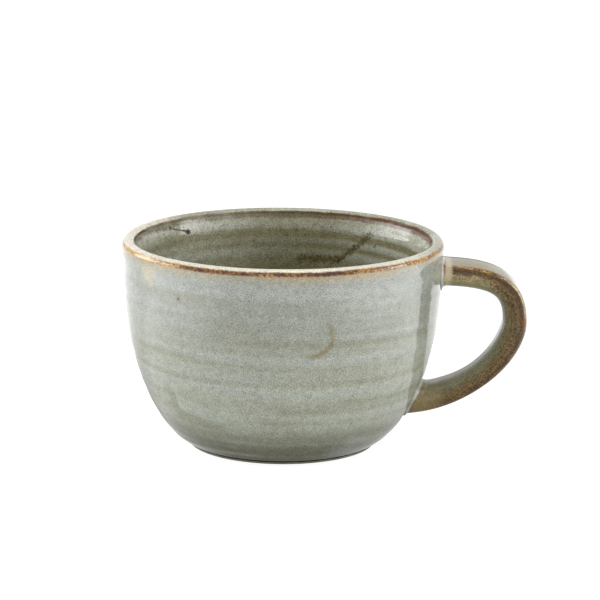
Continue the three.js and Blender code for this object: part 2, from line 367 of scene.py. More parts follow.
lastRow = len(line) - 1
outsideCoat = coat("outside_glaze_coat", 0, crestRow)
insideCoat = coat("inside_glaze_coat", crestRow, lastRow, lastRow - crestRow)
print("glaze coats:", len(outsideCoat.data.polygons), "and", len(insideCoat.data.polygons), "faces")


# Clay under the glaze: only the foot ring and the bare heel show

foot = {
    "radius": 29.2,
    "ringWidth": 4.5,
    "height": 1.4,
    "edgeRound": 0.5,
    "wellCeiling": 2.5,
    "wellDraft": 0.8,
    "glazeMargin": 0.6,
    "glazeTuck": 0.2,  # its hidden side ends this far in from its edge
    "ringsFade": (1, 6),  # radius at which the well's rings begin and are full
    "lipRun": -40.0,  # for its colour it counts as this far below the lip
    "step": 0.35,
    "wellStep": 0.3,
}
ceiling = foot["wellCeiling"]
wellRadius = foot["radius"] - foot["ringWidth"]


def clayLine():
    edge = foot["edgeRound"]
    under = np.r_[
        [(bowl["pole"], ceiling), (wellRadius - foot["wellDraft"], ceiling)],
        arcLine((wellRadius + edge, edge), edge, 180, 270),
        arcLine((foot["radius"] - edge, edge), edge, -90, 0),
        [(foot["radius"], foot["height"])],
    ]
    covered = line - away * bowl["coat"]
    covered = covered[run > run[0] + math.pi * bowl["coat"] / 2]
    return np.r_[evenly(under, foot["step"]), covered[::every]]


def wellLine():
    edge = wellRadius - foot["wellDraft"] - foot["glazeMargin"]
    depth = bowl["coat"]
    bead = arcLine((edge - depth, ceiling), depth, -90, 0)
    return evenly(np.r_[[(bowl["pole"], ceiling - depth)], bead], foot["wellStep"])


clayGrid = turned(clayLine())
clayBody = ringMesh("clay_body", clayGrid, clayGrid[:0], facing(clayGrid), {}, len(clayGrid) - 1)
wellRows = wellLine()
wellWave = throwingRings(turnAngles[None, :], wellRows[:, :1])
wellWave = wellWave * smooth(wellRows[:, :1], *foot["ringsFade"])
wellGrid = turned(wellRows, wellWave * rings["relief"], rightOf(wellRows))
wellBack = turned(np.array([(wellRows[-1][0] - foot["glazeTuck"], ceiling), (bowl["pole"], ceiling)]))
wellMarks = {"ridge": wellWave, "lip": np.full(wellWave.shape, foot["lipRun"])}
wellCap = len(wellGrid) + len(wellBack) - 1
wellCoat = ringMesh("foot_well_glaze_coat", wellGrid, wellBack, facing(wellGrid), wellMarks, wellCap)
print("clay and foot:", len(clayBody.data.polygons), "and", len(wellCoat.data.polygons), "faces")


# Strap handle and the slip smoothed round its two roots

strap = {
    "width": 16.0,
    "thickness": (7.4, 7.1, 6.3, 7.5),  # at the top, bend, waist and tail
    "waistRun": 21.0,  # from the waist on to the wall
    "outerRound": 1.6,
    "innerSwell": 4.0,  # how deep the inner face is rounded
    "innerFlat": 2.5,  # flat strip down its middle
    "crown": 0.2,  # the outer face swells a little between its edges
    "sectionSteps": [(11, 3), (18, 4), (18, 3), (11, 12)],  # round each corner, and on to the next
    "upperRootDrop": 10.8,
    "upperRootRun": 15.4,
    "bendDrop": 14.9,
    "fullnessAbove": 12.5,
    "fullnessBelow": 5.9,
    "lowerRootHeight": 14.5,
    "lowerRootRun": 23.0,
    "lowerRootRise": 7.0,
    "rootDepth": 6.0,
    "slipFillet": 1.8,
    "slipMargin": 0.9,
    "slipEnd": 1.0,  # length over which the slip starts on the strap
    "slipDive": 0.7,  # depth in the wall at which its fillet has gone
    "slopeStep": 0.5,  # height over which the wall's slope is taken
    "leastLean": 0.2,  # keeps the fillet short where strap and wall meet at a shallow angle
    "sunk": (2.4, 3.9),  # how far the upper and lower roots reach into the wall
    "step": 0.45,
    "pullLines": 0.018,  # height of the lines left by pulling the strap
    "pullWaves": 16,
    "pullRound": (6, 26),  # fewest and most lines round the strap
    "pullDrift": 0.05,
    "seed": 5,
}
wallThickness = bowl["shoulderThickness"]
upperReach = wallThickness + strap["slipFillet"] + strap["slipMargin"]
lowerReach = strap["rootDepth"] + strap["thickness"][-1] + strap["slipFillet"]


def wallRadius(height):
    return np.interp(height, wallLine[:, 1], wallLine[:, 0])


def strapPath():
    # centre line in (distance from the axis, height)
    upper = np.array([shoulder - wallThickness, cupHeight - strap["upperRootDrop"]])
    bend = np.array([handleReach - strap["thickness"][1] / 2, upper[1] - strap["bendDrop"]])
    rise = heading(strap["lowerRootRise"])
    lower = np.array([wallRadius(strap["lowerRootHeight"]), strap["lowerRootHeight"]])
    level = upper + (wallThickness + strap["upperRootRun"], 0)
    top = bezier(upper, level, bend + (0, strap["fullnessAbove"]), bend)
    sweep = lower + rise * strap["lowerRootRun"]
    tail = bezier(bend, bend - (0, strap["fullnessBelow"]), sweep, lower)
    path = np.r_[top, tail[1:], [lower - rise * strap["rootDepth"]]]
    return evenly(path, strap["step"]), lengths(top)[-1]


def strapSection():
    # Round the section: each point is (share of half the thickness, extra, across) and its normal.
    # It starts at the outer face and goes over an outer edge, the swollen inner face and back.
    half = strap["width"] / 2
    edge = (1, strap["outerRound"], strap["outerRound"])
    swell = (-1, strap["innerSwell"], half - strap["innerFlat"] / 2)
    corners = [(*edge, 1), (*swell, 1), (*swell, -1), (*edge, -1)]

    def at(corner, angle):
        out, depth, width, side = corners[corner % 4]
        c, s = math.cos(angle), math.sin(angle)
        length = math.hypot(c / depth, s / width)
        across = side * (half - width) + width * s
        return (out, depth * (c - out), across, c / depth / length, s / width / length)

    table = []
    for corner, (steps, flats) in enumerate(strap["sectionSteps"]):
        angles = np.radians(np.linspace(corner * 90, corner * 90 + 90, steps))
        table += [at(corner, angle) for angle in angles]
        here, ahead = np.array(table[-1]), np.array(at(corner + 1, angles[-1]))
        table += [tuple(here + (ahead - here) * i / flats) for i in range(1, flats)]
    return np.array(table)


def strapThickness(along, topLength):
    wallAt = along[-1] - strap["rootDepth"]
    stops = [0, topLength, wallAt - strap["waistRun"], wallAt]
    first, *others = strap["thickness"]
    thick = np.full(len(along), first)
    for start, end, there in zip(stops, stops[1:], others):
        thick += (there - thick) * smooth(along, start, end)
    return thick[:, None]


def slipStand(place, normal):
    # slip stands off the strap as a round fillet does where the wall is near
    x, y, z = np.moveaxis(place, -1, 0)
    radius = np.hypot(x, y)
    slope = (wallRadius(z + strap["slopeStep"]) - wallRadius(z)) / strap["slopeStep"]
    lean = (normal * unit(np.stack([x / radius, y / radius, -slope], -1))).sum(-1)
    leg = strap["slipFillet"] * np.sqrt((1 - lean) / np.maximum(1 + lean, strap["leastLean"]))
    off = (radius - wallRadius(z)) / np.hypot(1, slope)
    clear = np.clip(off, 0, leg)
    stand = leg - np.sqrt(leg**2 - (leg - clear) ** 2)
    return stand * (1 - smooth(-off, 0, strap["slipDive"]))  # it dives into the wall


def pulledLines(along, around, girth):
    # lines left by pulling the wet strap through the hand
    draw = np.random.default_rng(strap["seed"])
    pull = np.zeros((len(along), len(around)))
    for _ in range(strap["pullWaves"]):
        wavesRound = draw.integers(*strap["pullRound"])
        drift = draw.uniform(-strap["pullDrift"], strap["pullDrift"])
        start = draw.uniform(0, 2 * math.pi)
        turn = 2 * math.pi * wavesRound * around[None, :] / girth
        pull += np.cos(turn + drift * along[:, None] + start)
    return pull / math.sqrt(strap["pullWaves"] / 2)


def fromEdge(table, around, girth):
    # how far onto the outer face each point lies from the nearer edge
    slant = math.sqrt(0.5)
    near, far = (
        around[np.argmin(np.hypot(table[:, 3] - slant, table[:, 4] - side * slant))]
        for side in (1, -1)
    )
    beyond = np.where(around > girth / 2, girth - around + near, near - around)
    return np.where(np.abs(beyond) < np.abs(around - far), beyond, around - far)


def strapGrid():
    path, topLength = strapPath()
    along = lengths(path)
    table = strapSection()
    thick = strapThickness(along, topLength)
    out = -rightOf(path)  # away from the finger gap
    crown = np.clip(table[:, 3], 0, 1) * np.cos(math.pi * table[:, 2] / strap["width"])
    lift = table[:, 0] * thick / 2 + table[:, 1] + strap["crown"] * crown
    level = np.zeros((len(path), 1))
    normal = [out[:, :1] * table[:, 3], level - table[:, 4], out[:, 1:] * table[:, 3]]
    normal = np.stack(normal, -1)
    place = [path[:, :1] + out[:, :1] * lift, level - table[:, 2], path[:, 1:] + out[:, 1:] * lift]
    place = np.stack(place, -1)
    lowerStart = along[-1] - lowerReach
    atRoot = np.maximum(
        1 - smooth(along, upperReach - strap["slipEnd"], upperReach),
        smooth(along, lowerStart, lowerStart + strap["slipEnd"]),
    )[:, None]
    place = place + normal * (slipStand(place, normal) * atRoot)[..., None]
    wallGap = np.hypot(place[..., 0], place[..., 1]) - wallRadius(place[..., 2])
    ring = place[len(path) // 2]
    around = lengths(ring)
    girth = around[-1] + np.linalg.norm(ring[0] - ring[-1])
    pull = pulledLines(along, around, girth) * (1 - atRoot)
    place = place + normal * (pull * strap["pullLines"])[..., None]
    place[..., 0] += axisX
    marks = {
        "ridge": pull,
        "edge": level + fromEdge(table, around, girth),
        "depth": (thick / 2 - lift) / thick,
        "along": np.repeat(along[:, None], len(table), 1),
        "wallGap": wallGap,
    }
    return place, normal, marks, along


strapPlace, strapOut, strapMarks, strapAlong = strapGrid()
strapNormals = facing(strapPlace)
if (strapNormals * strapOut).sum() < 0:
    strapNormals = -strapNormals
strapEnd = strapAlong[-1]
upperFrom, upperTo, lowerFrom, lowerTo = np.searchsorted(
    strapAlong,
    [
        wallThickness - strap["sunk"][0],
        upperReach,
        strapEnd - lowerReach,
        strapEnd - strap["rootDepth"] + strap["sunk"][1],
    ],
).tolist()


def strapPiece(name, first, last, skip):
    # hidden rows skip some, but not at a fillet, which they would cut
    rows = slice(first, last + 1)
    back = goingBack(first, last, skip)
    behind = strapPlace[back] - strapOut[back] * backDepth
    marks = {key: value[rows] for key, value in strapMarks.items()}
    return ringMesh(name, strapPlace[rows], behind, strapNormals[rows], marks)


handleCoat = strapPiece("handle_glaze_coat", upperTo, lowerFrom, every)
upperCollar = strapPiece("upper_slip_collar", upperFrom, upperTo, 1)
lowerCollar = strapPiece("lower_slip_collar", lowerFrom, lowerTo, 1)
strapPieces = (handleCoat, upperCollar, lowerCollar)
print("handle and collars:", [len(piece.data.polygons) for piece in strapPieces], "faces")


# Node helpers: a new node goes into the tree of the sockets given to it

def srgb(red, green, blue):
    # a colour on a screen, in the linear values that sockets take
    parts = [value / 255 for value in (red, green, blue)]
    linear = [v / 12.92 if v <= 0.04045 else ((v + 0.055) / 1.055) ** 2.4 for v in parts]
    return (*linear, 1)


def addNode(tree, kind, **settings):
    node = tree.nodes.new("ShaderNode" + kind)
    for key, value in settings.items():
        setattr(node, key, value)
    return node


def wire(source, socket):
    if isinstance(source, bpy.types.NodeSocket):
        socket.id_data.links.new(source, socket)
    else:
        socket.default_value = source


def fed(kind, inputs, **settings):
    # outputs of a new node, with its inputs wired or set by name or number
    tree = next(v.id_data for v in inputs.values() if isinstance(v, bpy.types.NodeSocket))
    node = addNode(tree, kind, **settings)
    for key, source in inputs.items():
        wire(source, node.inputs[key])
    return node.outputs


def maths(operation, first, *others):
    # from left to right, one node for each further value
    for other in others:
        first = fed("Math", {0: first, 1: other}, operation=operation)[0]
    return first


plus, minus, times, largest = (
    partial(maths, operation) for operation in ("ADD", "SUBTRACT", "MULTIPLY", "MAXIMUM")
)


def absolute(value):
    return fed("Math", {0: value}, operation="ABSOLUTE")[0]


def vectors(operation, *values):
    made = fed("VectorMath", dict(enumerate(values)), operation=operation)
    return made["Value" if operation in ("LENGTH", "DOT_PRODUCT") else "Vector"]


def scaled(vector, amount):
    return fed("VectorMath", {0: vector, "Scale": amount}, operation="SCALE")["Vector"]


def axes(vector):
    return fed("SeparateXYZ", {0: vector})


def mixed(share, first, second, blend="MIX"):
    return fed("Mix", {0: share, 6: first, 7: second}, data_type="RGBA", blend_type=blend)[2]


def remap(value, low, high, toLow=0.0, toHigh=1.0):
    ends = enumerate((value, low, high, toLow, toHigh))
    return fed("MapRange", dict(ends), interpolation_type="SMOOTHSTEP")[0]


def layered(colour, look, layers, **values):
    # a look's colours over one another, each where the value that it follows lies in its range
    for follows, shade, *ends in layers:
        colour = mixed(remap(values[follows], *ends), colour, look[shade])
    return colour


def cloud(position, scale, detail=2.0, rough=0.5):
    inputs = {"Vector": position, "Scale": scale, "Detail": detail, "Roughness": rough}
    return fed("TexNoise", inputs)[0]


def swing(*texture):
    # a cloud about zero
    return minus(cloud(*texture), 0.5)


def meshValue(position, name):
    # a value stored in the mesh
    return addNode(position.id_data, "Attribute", attribute_name=name).outputs["Fac"]


socketKinds = dict.fromkeys(("Position", "Centre", "From", "To"), "NodeSocketVector")
socketKinds.update(dict.fromkeys(("Body", "Colour"), "NodeSocketColor"))


def nodeGroup(name, inputs, outputs, build):
    # A shared effect: build turns the group's inputs into its outputs, in the order named.
    # What comes back puts the group into a tree and gives its outputs there.
    tree = bpy.data.node_groups.new(name, "ShaderNodeTree")
    for way, labels in (("INPUT", inputs), ("OUTPUT", outputs)):
        for label in labels:
            kind = socketKinds.get(label, "NodeSocketFloat")
            tree.interface.new_socket(name=label, in_out=way, socket_type=kind)
    given = tree.nodes.new("NodeGroupInput").outputs
    made = tree.nodes.new("NodeGroupOutput").inputs
    for source, label in zip(build(*(given[label] for label in inputs)), outputs):
        wire(source, made[label])

    def use(*values):
        outs = fed("Group", dict(enumerate(values)), node_tree=tree)
        return outs if len(outputs) > 1 else outs[0]

    return use


def atBowl(x, y, z):
    # a place in millimetres from the bowl's axis, as a point in the frame
    return ((x + axisX) * mm, y * mm, z * mm)


# Effects that several glazes share

effects = {
    "fineGrain": (4000, 2, 0.6),  # scale, detail and roughness of a cloud
    "broadGrain": (420, 2, 0.5),
    "broadShare": 0.15,
    "grainEnds": (0.33, 0.67),
    "speckCells": 360,
    "speckSize": (0.2, 0.06),  # edge and core, in cells
    "specksFrom": 0.8,  # the rest of the cells have a speck
    "lineSlow": (150, 2, 0.5),
    "lineQuick": (900, 2, 0.6),
    "lineCore": 0.3,  # share of the half width that is solid
    "spotEdge": (500, 2, 0.6),
    "spotCore": 0.25,
    "streakEdge": (900, 3, 0.7),
    "streakRag": 3,
    "streakCore": 0.2,
    "meltSlow": (110, 2, 0.5),
    "meltQuick": (700, 2, 0.5),
    "meltShare": 0.12,
}


def grainAndSpecks(position):
    # fine salt and pepper grain, and sparse iron specks
    fine = times(cloud(position, *effects["fineGrain"]), 1 - effects["broadShare"])
    grain = plus(fine, times(cloud(position, *effects["broadGrain"]), effects["broadShare"]))
    cells = fed("TexVoronoi", {"Vector": position, "Scale": effects["speckCells"]})
    chosen = fed("SeparateColor", {0: cells["Color"]})[0]
    dot = remap(cells["Distance"], *effects["speckSize"])
    specks = times(dot, maths("GREATER_THAN", chosen, effects["specksFrom"]))
    return remap(grain, *effects["grainEnds"]), specks


def raggedLine(position, distance, middle, half, rag):
    # a ragged line where iron burns through thin glaze at an edge
    shift = plus(swing(position, *effects["lineSlow"]), swing(position, *effects["lineQuick"]))
    gap = minus(plus(distance, times(shift, rag)), middle)
    return [remap(absolute(gap), half, times(half, effects["lineCore"]))]


def roundSpot(position, centre, radius):
    # a round spot with an uneven edge
    gap = vectors("LENGTH", vectors("SUBTRACT", position, centre))
    gap = plus(gap, times(swing(position, *effects["spotEdge"]), radius))
    return [remap(gap, radius, times(radius, effects["spotCore"]))]


def straightStreak(position, start, end, width):
    # a streak along a straight run between two points
    way = vectors("SUBTRACT", end, start)
    here = vectors("SUBTRACT", position, start)
    share = maths("DIVIDE", vectors("DOT_PRODUCT", here, way), vectors("DOT_PRODUCT", way, way))
    share = maths("MINIMUM", largest(share, 0), 1)
    gap = vectors("LENGTH", vectors("SUBTRACT", here, scaled(way, share)))
    uneven = swing(position, *effects["streakEdge"])
    gap = plus(gap, times(uneven, times(width, effects["streakRag"])))
    return [remap(gap, width, times(width, effects["streakCore"]))]


def meltedHeight(position):
    # the soft unevenness of a melted glaze, as a height
    quick = times(cloud(position, *effects["meltQuick"]), effects["meltShare"])
    return [plus(cloud(position, *effects["meltSlow"]), quick)]


speckles = nodeGroup("grainAndSpecks", ["Position"], ["Grain", "Specks"], grainAndSpecks)
lineInputs = ["Position", "Distance", "Middle", "Half Width", "Rag"]
ironLine = nodeGroup("ironLine", lineInputs, ["Line"], raggedLine)
firedSpot = nodeGroup("firedSpot", ["Position", "Centre", "Radius"], ["Spot"], roundSpot)
streakInputs = ["Position", "From", "To", "Width"]
firedStreak = nodeGroup("firedStreak", streakInputs, ["Streak"], straightStreak)
meltedSurface = nodeGroup("meltedSurface", ["Position"], ["Height"], meltedHeight)


def spotAt(position, centre, radius):
    return firedSpot(position, atBowl(*centre), radius * mm)


iron = {
    "dark": srgb(80, 44, 14),
    "rust": srgb(134, 84, 34),
    "gold": srgb(198, 158, 84),
    "cream": srgb(214, 198, 162),
    "speck": srgb(84, 72, 44),
    "slow": (90, 2, 0.5),
    "grains": (1100, 3, 0.7),
    "slowShare": 0.4,
    "toRust": (0.34, 0.43),
    "toDark": (0.42, 0.5),
}


def ironColour(position, gilt):
    # burnt iron runs from gold through rust to dark brown, in grains
    slow = times(cloud(position, *iron["slow"]), iron["slowShare"])
    spread = plus(slow, times(cloud(position, *iron["grains"]), 1 - iron["slowShare"]))
    spread = minus(spread, gilt)
    warm = mixed(remap(spread, *iron["toRust"]), iron["gold"], iron["rust"])
    return mixed(remap(spread, *iron["toDark"]), warm, iron["dark"])


lip = {  # distances from the crest in millimetres, places from the bowl's axis in metres
    "outerLine": (-2.4, 1.05, 0.7),  # middle, half width, rag
    "innerLine": (2.3, 0.75, 0.6),
    "innerStain": (3.0, 1.5, 1.0),
    "patches": 60,  # scale of the cloud over the crest and its halo
    "breaks": 120,  # and of the one along the inner line
    "halo": (-6.5, -3.0),  # where the tan below the outer line begins and is full
    "haloTop": (-1.0, -1.8),
    "haloPatches": (0.35, 0.6, 0.5, 0.95),
    "crestEdges": ((-2.3, -1.8), (2.6, 1.8)),
    "dullPatches": (0.42, 0.62, 0, 0.6),
    "tan": srgb(176, 158, 122),
    "crest": srgb(170, 170, 151),
    "front": srgb(226, 219, 198),  # the crest at the front and left, where a painted highlight lies over the pale glaze
    "litFrontCrest": (-0.012, -0.036),
    "litLeftCrest": (-0.03, -0.042),
    "dull": srgb(150, 146, 120),  # olive patches on the crest
    "umber": srgb(80, 66, 36),  # the inner line
    "russet": srgb(84, 50, 20),  # the same towards the handle
    "toRusset": (0.006, 0.022),
    "gilt": (0.014, 0.036, 0, 0.09),  # distance from the middle where the outer line turns golden
    "giltLeft": (-0.026, -0.044, 0, 0.07),
    "innerGilt": -0.03,
    "burntRight": (0.026, 0.038, 0, 0.7),  # where the inner line takes the iron's colours
    "widerRight": (0.024, 0.038, 0, 0.3),
    "firedRight": (-0.024, 0.012, 0.6, 1.0),  # the inner line is strong towards the handle
    "firedLeft": (-0.028, -0.035, 0.6, 1.0),  # and weak left of the middle at the back
    "firedPatches": (0.35, 0.55, 0.6, 1.0),
    "stained": 0.75,
}


def lipColours(position, run, body):
    # pale crest, iron lines on both its edges and a tan halo below the outer one
    aside, back, _ = axes(vectors("SUBTRACT", position, atBowl(0, 0, 0)))
    patches = cloud(position, lip["patches"])
    halo = times(remap(run, *lip["halo"]), remap(run, *lip["haloTop"]))
    halo = times(halo, remap(patches, *lip["haloPatches"]))
    colour = mixed(halo, body, lip["tan"])
    crest = times(*(remap(run, *edge) for edge in lip["crestEdges"]))
    top = mixed(remap(patches, *lip["dullPatches"]), lip["crest"], lip["dull"])
    # painted highlight: the crest brighter towards the front and the left
    crestHighlight = largest(remap(back, *lip["litFrontCrest"]), remap(aside, *lip["litLeftCrest"]))
    colour = mixed(crest, colour, mixed(crestHighlight, top, lip["front"]))
    gilt = plus(remap(absolute(aside), *lip["gilt"]), remap(aside, *lip["giltLeft"]))
    burnt = ironColour(position, gilt)
    umber = mixed(remap(aside, *lip["toRusset"]), lip["umber"], lip["russet"])
    grains = ironColour(position, lip["innerGilt"])
    inner = mixed(remap(aside, *lip["burntRight"]), umber, grains)
    fired = largest(remap(aside, *lip["firedRight"]), remap(aside, *lip["firedLeft"]))
    fired = times(fired, remap(cloud(position, lip["breaks"]), *lip["firedPatches"]))
    middle, half, rag = lip["innerLine"]
    innerLine = (middle, plus(half, remap(aside, *lip["widerRight"])), rag)
    for form, shade, strength in (
        (lip["outerLine"], burnt, 1.0),
        (lip["innerStain"], umber, times(fired, lip["stained"])),
        (innerLine, inner, fired),
    ):
        line = times(ironLine(position, run, *form), strength)
        colour = mixed(line, colour, shade)
    return colour, line  # the inner line, the last of them, is burnt dry


lipBreak = nodeGroup("lipBreak", ["Position", "Lip", "Body"], ["Colour", "Dull"], lipColours)

finish = {
    "paleGrain": 0.85,  # lightening by the grain, as a share of its darkening
    "gloss": (0.8, 1.3),  # least and most roughness over the grain, as shares
    "dullest": 0.7,  # roughness where iron burnt dry
    "index": 1.5,  # refractive index of glaze and clay
}


def newMaterial(name, roughness):
    material = bpy.data.materials.new(name)
    material.use_nodes = True
    shader = material.node_tree.nodes["Principled BSDF"]
    shader.inputs["Roughness"].default_value = roughness
    shader.inputs["IOR"].default_value = finish["index"]
    return material, shader.inputs, addNode(material.node_tree, "TexCoord").outputs["Object"]


def addBump(shader, height, depth):
    bump = fed("Bump", {"Strength": 1.0, "Distance": depth * mm, "Height": height})
    wire(bump[0], shader["Normal"])


def glazed(name, look, paint):
    # a glaze: its painted colour under grain and specks, uneven gloss and a melted surface
    material, shader, position = newMaterial(name, look["roughness"])
    colour, dull = paint(position)
    grain, specks = speckles(position)
    darkest, palest = 1 - look["grain"], 1 + look["grain"] * finish["paleGrain"]
    colour = mixed(1.0, colour, remap(grain, 0, 1, darkest, palest), "MULTIPLY")
    wire(mixed(times(specks, look["specks"]), colour, iron["speck"]), shader["Base Color"])
    gloss = remap(grain, 0, 1, *(look["roughness"] * share for share in finish["gloss"]))
    if dull:
        gloss = largest(gloss, times(dull, finish["dullest"]))
    wire(gloss, shader["Roughness"])
    shader["Specular IOR Level"].default_value = look["shine"]
    addBump(shader, meltedSurface(position), look["ripple"])
    return material


pool = {
    "layers": [  # what it follows, colour, where it starts and is full, amounts there
        # the lower colour below the shoulder; on the outside glaze it is lighter, painted light in place
        # of light from the floor
        ("height", "lower", 0.053, 0.026),
        ("height", "blue", 0.047, 0.06, 0, 0.6),
        # darker towards the foot; on the outside glaze this is painted shade near the floor
        ("height", "foot", 0.017, 0.005),
        ("drift", "blue", 0.5, 0.7, 0, 0.55),
        ("drift", "olive", 0.48, 0.3, 0, 0.4),
    ],
    "squash": (0.5, 0.5, 1.5),  # patches are wider than high
    "drift": (42, 3, 0.55),
    "patches": (110, 3, 0.6),
    "ringsAbove": (0.056, 0.034),
    "grooves": (0.7, -2.8),  # ridge heights at which the olive starts and is full
    "crests": (-0.3, 2.8),
}


def pooledColour(position, look):
    # glaze thins to blue-white on the rings' crests and pools olive in their grooves
    height = axes(position)[2]
    flat = vectors("MULTIPLY", position, pool["squash"])
    drift = cloud(flat, *pool["drift"])
    colour = layered(look["upper"], look, pool["layers"], height=height, drift=drift)
    above, patchy = look["rings"]
    ridge = plus(meshValue(position, "ridge"), times(swing(flat, *pool["patches"]), patchy))
    ridge = times(ridge, remap(height, *pool["ringsAbove"], above, 1.0))
    colour = mixed(remap(ridge, *pool["grooves"], 0, look["pooling"]), colour, look["olive"])
    return mixed(remap(ridge, *pool["crests"], 0, look["pooling"]), colour, look["blue"])


sage = {
    "upper": srgb(151, 154, 143),
    # painted light: lighter than the upper colour, in place of light sent up from the floor
    "lower": srgb(177, 181, 166),
    "foot": srgb(116, 117, 96),  # painted shade: darker towards the foot, where the floor near the cup lies in shade
    "blue": srgb(177, 182, 176),
    "olive": srgb(136, 136, 110),
    "rings": (0.8, 3.0),  # share of the rings' effect above, and how much patches break them up
    "pooling": 0.48,  # how much the rings' grooves and crests differ from the rest
    "roughness": 0.07, "ripple": 0.03, "grain": 0.38, "shine": 0.5, "specks": 0.3,
    "goldPatch": ((-40.6, -28.4, 59.6), 5.5, 0.5, srgb(208, 192, 150)),  # place, radius, amount, colour
    "pinhole": [
        ((-31.2, -38.2, 53.7), 1.6, 0.45, srgb(140, 126, 92)),
        ((-31.2, -38.2, 53.7), 0.55, 1.0, srgb(40, 32, 20)),
    ],
}
crescent = {
    "centre": (9.0, -48.0, 44.4),
    "radius": 6.1,
    "width": 1.3,
    "toward": (0.82, 0.3, -0.5),
    "ends": (0.5, 3.5),  # how far towards that side it starts and is full
    "edge": (260, 3, 0.6),
    "rag": 2.5,
    "strength": 0.65,
    "ochre": srgb(132, 116, 64),
}


def stained(position, colour, spots):
    for place, radius, strength, shade in spots:
        colour = mixed(times(spotAt(position, place, radius), strength), colour, shade)
    return colour


def withCrescent(position, colour):
    # the rusty crescent on the right of the front
    here = vectors("SUBTRACT", position, atBowl(*crescent["centre"]))
    gap = minus(vectors("LENGTH", here), crescent["radius"] * mm)
    gap = plus(gap, times(swing(position, *crescent["edge"]), crescent["rag"] * mm))
    stain = remap(absolute(gap), crescent["width"] * mm, 0.0)
    reach = vectors("DOT_PRODUCT", here, crescent["toward"])
    stain = times(stain, remap(reach, *(end * mm for end in crescent["ends"])))
    return mixed(times(stain, crescent["strength"]), colour, crescent["ochre"])


def outsidePaint(position):
    colour = withCrescent(position, pooledColour(position, sage))
    colour = stained(position, colour, [sage["goldPatch"]])
    colour = lipBreak(position, meshValue(position, "lip"), colour)[0]
    return stained(position, colour, sage["pinhole"]), None


moss = {
    "upper": srgb(164, 163, 138),
    "lower": srgb(150, 147, 112),
    "foot": srgb(124, 120, 84),
    "blue": srgb(178, 180, 168),
    "olive": srgb(119, 113, 76),
    "shade": srgb(118, 113, 81),  # painted shade on the inner wall at the back, where the front rim keeps light off it
    "shadeFrom": (4, 0, 0),
    "shadeAside": (0.03, 0.006),
    "shadeBack": (0.0, 0.03, 0, 0.6),
    "rings": (1.5, 1.5),
    "pooling": 0.8,
    "roughness": 0.08, "ripple": 0.05, "grain": 0.54, "shine": 0.3, "specks": 0.7,
    "spot": ((-30.6, 32.2, 59.8), 1.4),
    "spotColour": srgb(62, 38, 14),
    "streaks": [  # from, to, width, strength
        ((18.2, 39.6, 49.4), (28.0, 34.1, 58.9), 1.4, 1.0),
        ((5.5, 43.3, 49.0), (17.4, 40.2, 49.6), 1.9, 0.95),
        ((-31.0, 31.9, 60.0), (-36.2, 27.0, 62.1), 0.6, 1.0),
        ((-36.2, 27.0, 62.1), (-42.7, 15.9, 63.0), 0.8, 0.7),
        ((35.1, 27.8, 61.2), (40.2, 19.6, 60.9), 0.7, 0.4),
    ],
    "streakColour": srgb(76, 62, 14),
    "streakGrains": (1500, 3, 0.7),
    "streakGaps": (0.42, 0.58, 0.6, 1.0),
}


def insidePaint(position):
    colour = pooledColour(position, moss)
    aside, back, _ = axes(vectors("SUBTRACT", position, atBowl(*moss["shadeFrom"])))
    # painted shade: darker across the middle of the inner wall at the back
    shade = times(remap(absolute(aside), *moss["shadeAside"]), remap(back, *moss["shadeBack"]))
    colour = mixed(shade, colour, moss["shade"])
    grains = remap(cloud(position, *moss["streakGrains"]), *moss["streakGaps"])
    dry = []
    for start, end, width, strength in moss["streaks"]:
        streak = firedStreak(position, atBowl(*start), atBowl(*end), width * mm)
        dry.append(times(streak, strength, grains))
        colour = mixed(dry[-1], colour, moss["streakColour"])
    dry.append(spotAt(position, *moss["spot"]))
    colour = mixed(dry[-1], colour, moss["spotColour"])
    colour, burnt = lipBreak(position, meshValue(position, "lip"), colour)
    return colour, largest(*dry, burnt)


strapGlaze = {  # distances along the strap in millimetres, depths as shares of its thickness
    "outerFace": srgb(134, 122, 74),
    "side": srgb(160, 149, 112),
    "tail": srgb(104, 97, 69),
    "innerFace": srgb(146, 144, 118),
    "brown": srgb(72, 52, 28),
    "tan": srgb(124, 100, 60),
    "ochre": srgb(148, 135, 92),  # granular at the lower root
    "roughness": 0.08, "ripple": 0.03, "grain": 0.5, "shine": 0.25, "specks": 0.3,
    "slow": (130, 3, 0.6),
    "grains": (1800, 3, 0.75),
    "layers": [
        ("along", "tail", 14, 34),
        ("depth", "innerFace", 0.5, 0.95, 0, 0.85),
        ("iron", "tan", 0.2, 0.6, 0, 0.95),
        ("iron", "brown", 0.5, 1.1, 0, 0.9),
        ("grains", "ochre", 0.5, 1.2, 0, 0.7),
    ],
    "ironGrows": (14, 30, 0.6, 1.25),  # depth that the iron reaches
    "ironShrinks": (38, 58, 0, 0.4),
    "ironFull": 0.16,
    "ironUneven": (0.9, 3.4, 0.1),  # by the slow cloud, the grains and the pulled lines
    "ironFree": (8.8, 7.6, 0, 1.2),  # none next to the wall
    "ochreAlong": (62, 77),
    "ochreGrains": 2.4,
    "outerPatches": (-0.15, 0.2, 0, 0.7),
    "outerFrom": (0.1, 1.1),
    "crestLine": (0.2, 0.65, 0.8),  # middle, half width, rag
    "crestAlong": (42, 26, 0.1, 0.85),
    "highlightGrains": 30,
    "highlightAlong": (28, 20),  # near the root
    # iron near the root, a painted cream highlight further along
    "gilt": 0.06,
    "creamAlong": (9.0, 7.4, 0, 0.6),
    "farLine": (1.9, 1.5, 1.2),  # iron along the far edge too, near the upper root
    "farSide": (0.003, 0.006),
    "farAlong": (30, 16, 0, 0.8),
    "rustSpot": [((75.2, -7.0, 40.2), 2.2, 0.6, srgb(150, 78, 26))],
}


